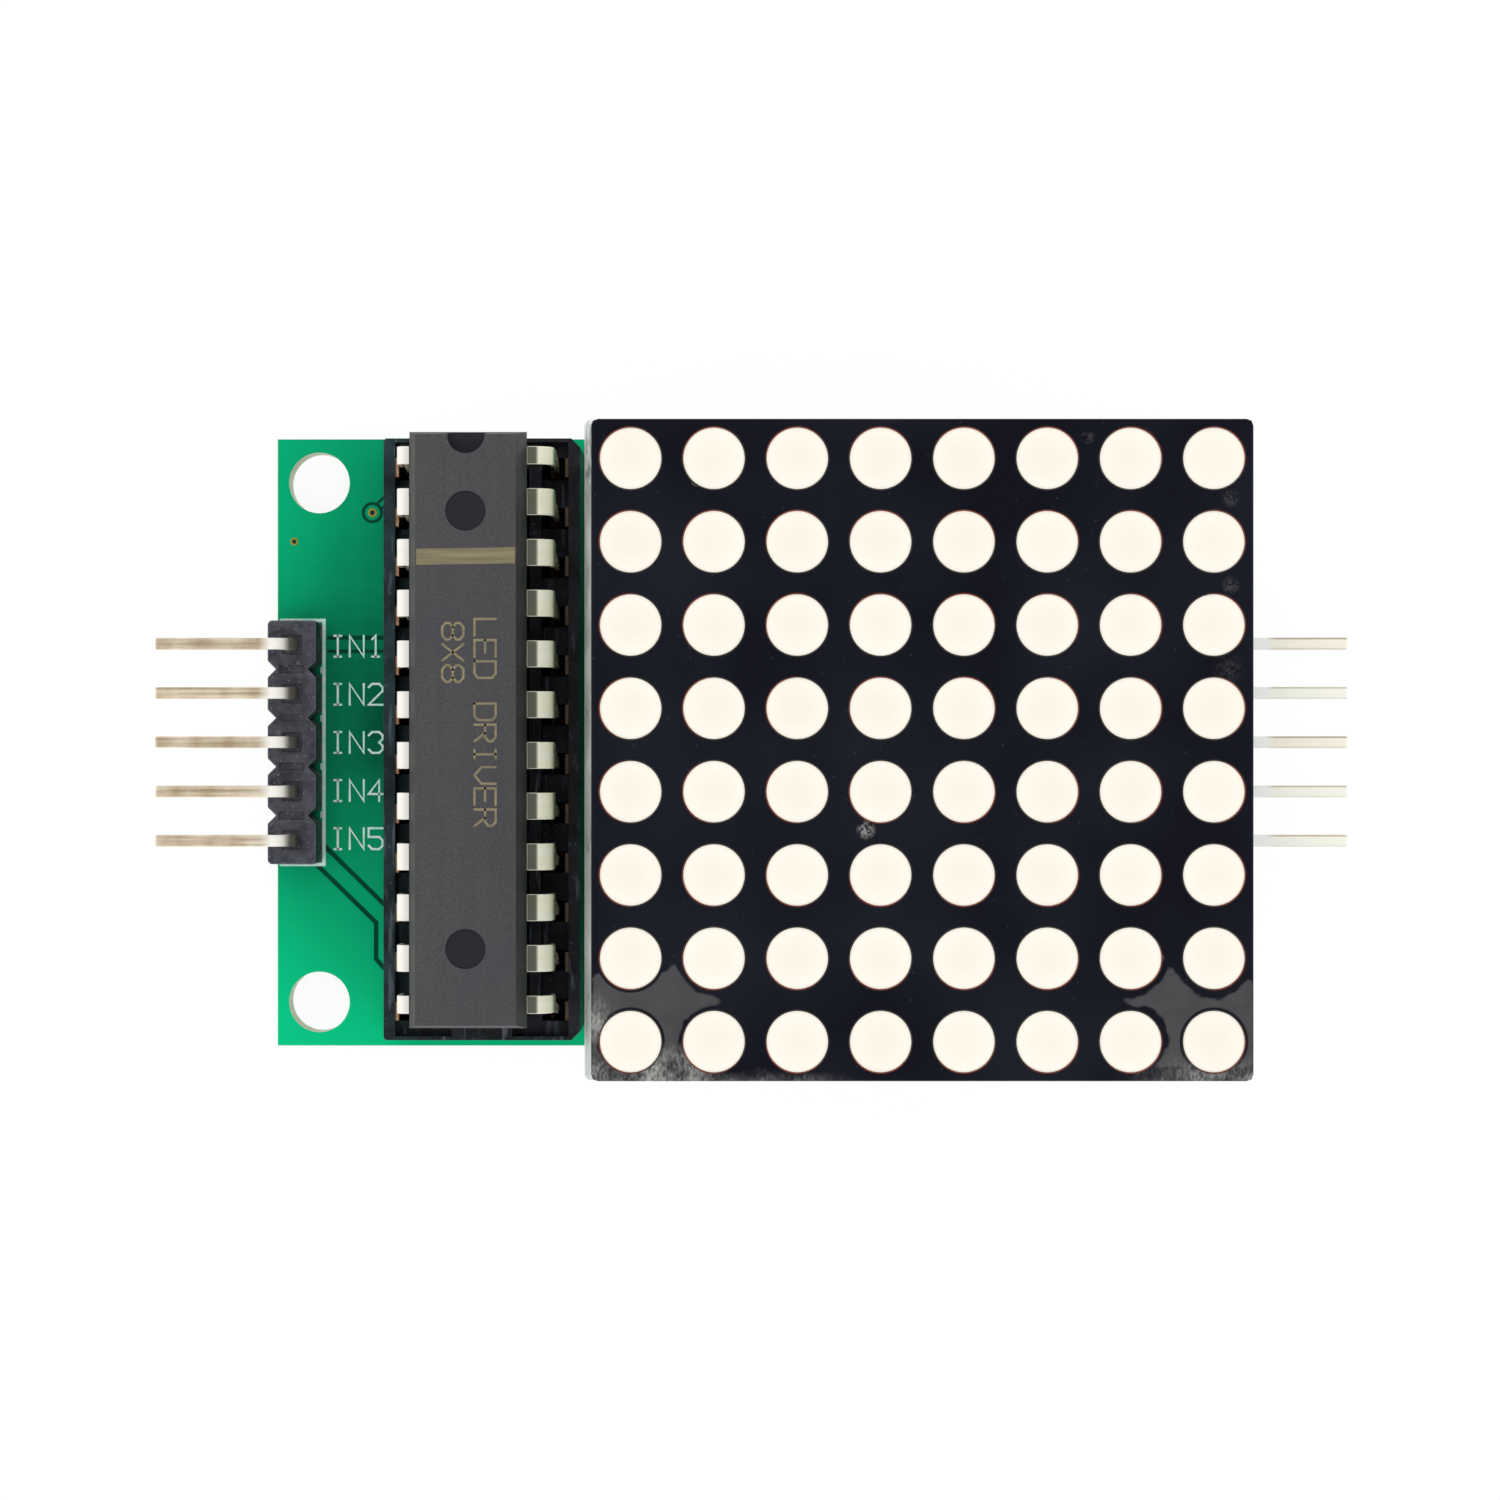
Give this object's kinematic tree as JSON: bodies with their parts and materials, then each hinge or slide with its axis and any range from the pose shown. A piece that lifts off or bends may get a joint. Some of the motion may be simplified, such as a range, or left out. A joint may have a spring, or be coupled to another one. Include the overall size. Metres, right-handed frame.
{
  "type": "led dot matrix module",
  "caption": "Square dot matrix display plugged on a driver board, with a socketed chip beside it and a right-angle pin header at each end.",
  "frame": {"origin": "centre of the rectangle of mounting holes, on the underside of the circuit board", "axes": "+Z out of the display face, +X along the board from the input header to the display end, +Y towards the notched end of the chip"},
  "size_m": [0.0614, 0.0332, 0.0196],
  "materials": {
    "board_laminate": "green solder mask",
    "header_plastic": "matt black moulding",
    "pin_metal": "pale gold plating",
    "socket_plastic": "black moulding",
    "contact_metal": "phosphor bronze",
    "chip_plastic": "fine matt dark grey moulding",
    "lead_metal": "tin plating",
    "display_shell": "pale moulding",
    "display_mask": "glossy blue-black face",
    "inner_board": "pale laminate",
    "die_material": "light-emitting chip",
    "potting_resin": "cast resin",
    "can_sleeve": "black sleeve",
    "bung_rubber": "black rubber",
    "ceramic_coat": "dipped coat",
    "resistor_coat": "lacquer"
  },
  "bodies": {
    "root": {"circuit_board": "board_laminate", "input_header_body": "header_plastic", "input_header_pin_1": "pin_metal", "input_header_pin_2": "pin_metal", "input_header_pin_3": "pin_metal", "input_header_pin_4": "pin_metal", "input_header_pin_5": "pin_metal", "output_header_body": "header_plastic", "output_header_pin_1": "pin_metal", "output_header_pin_2": "pin_metal", "output_header_pin_3": "pin_metal", "output_header_pin_4": "pin_metal", "output_header_pin_5": "pin_metal", "chip_socket_body": "socket_plastic", "chip_body": "chip_plastic", "chip_socket_contacts_left": "contact_metal", "chip_leads_left": "lead_metal", "chip_socket_contacts_right": "contact_metal", "chip_leads_right": "lead_metal", "display_socket_body_lower": "socket_plastic", "display_socket_contacts_lower": "contact_metal", "matrix_pins_lower": "lead_metal", "display_socket_body_upper": "socket_plastic", "display_socket_contacts_upper": "contact_metal", "matrix_pins_upper": "lead_metal", "matrix_housing": "display_shell", "matrix_mask": "display_mask", "matrix_board": "inner_board", "matrix_dies": "die_material", "matrix_potting": "potting_resin", "electrolytic_can": "can_sleeve", "electrolytic_bung": "bung_rubber", "electrolytic_leads": "lead_metal", "ceramic_body": "ceramic_coat", "ceramic_leads": "lead_metal", "resistor_body": "resistor_coat", "resistor_leads": "lead_metal"}
  },
  "joints": []
}
